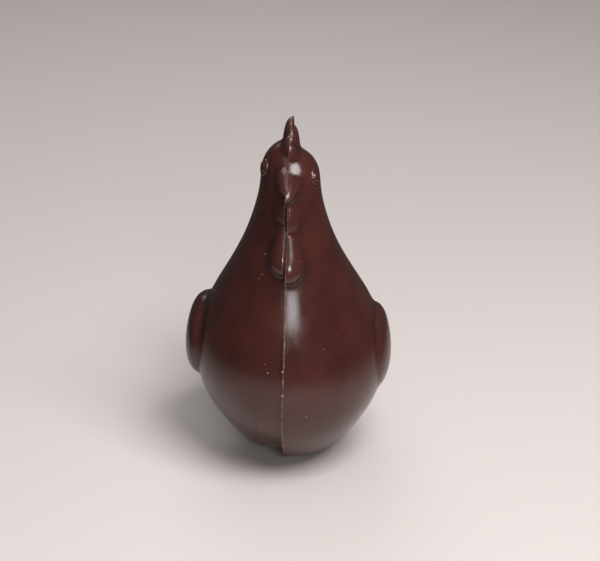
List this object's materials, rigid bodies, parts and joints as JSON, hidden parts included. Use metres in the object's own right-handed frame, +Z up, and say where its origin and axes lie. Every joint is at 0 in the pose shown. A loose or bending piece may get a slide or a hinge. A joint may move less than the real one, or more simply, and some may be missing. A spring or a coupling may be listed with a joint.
{
  "type": "chocolate hen",
  "caption": "Moulded dark chocolate hen with a tapered neck, comb, beak, wattles, side wings and a fan tail, its two mould halves set slightly out of line.",
  "frame": {"origin": "middle of the bounding box, at the bottom, where the hen stands", "axes": "+Z up, the beak and breast towards -Y, the tail towards +Y, +X to the hen's left wing"},
  "size_m": [0.0776, 0.0986, 0.1334],
  "materials": {
    "chocolate": "tempered dark chocolate with the smooth gloss of a polished mould, faint rub marks and a thin line of flash along the seam"
  },
  "bodies": {
    "root": {"hen": "chocolate"}
  },
  "joints": []
}
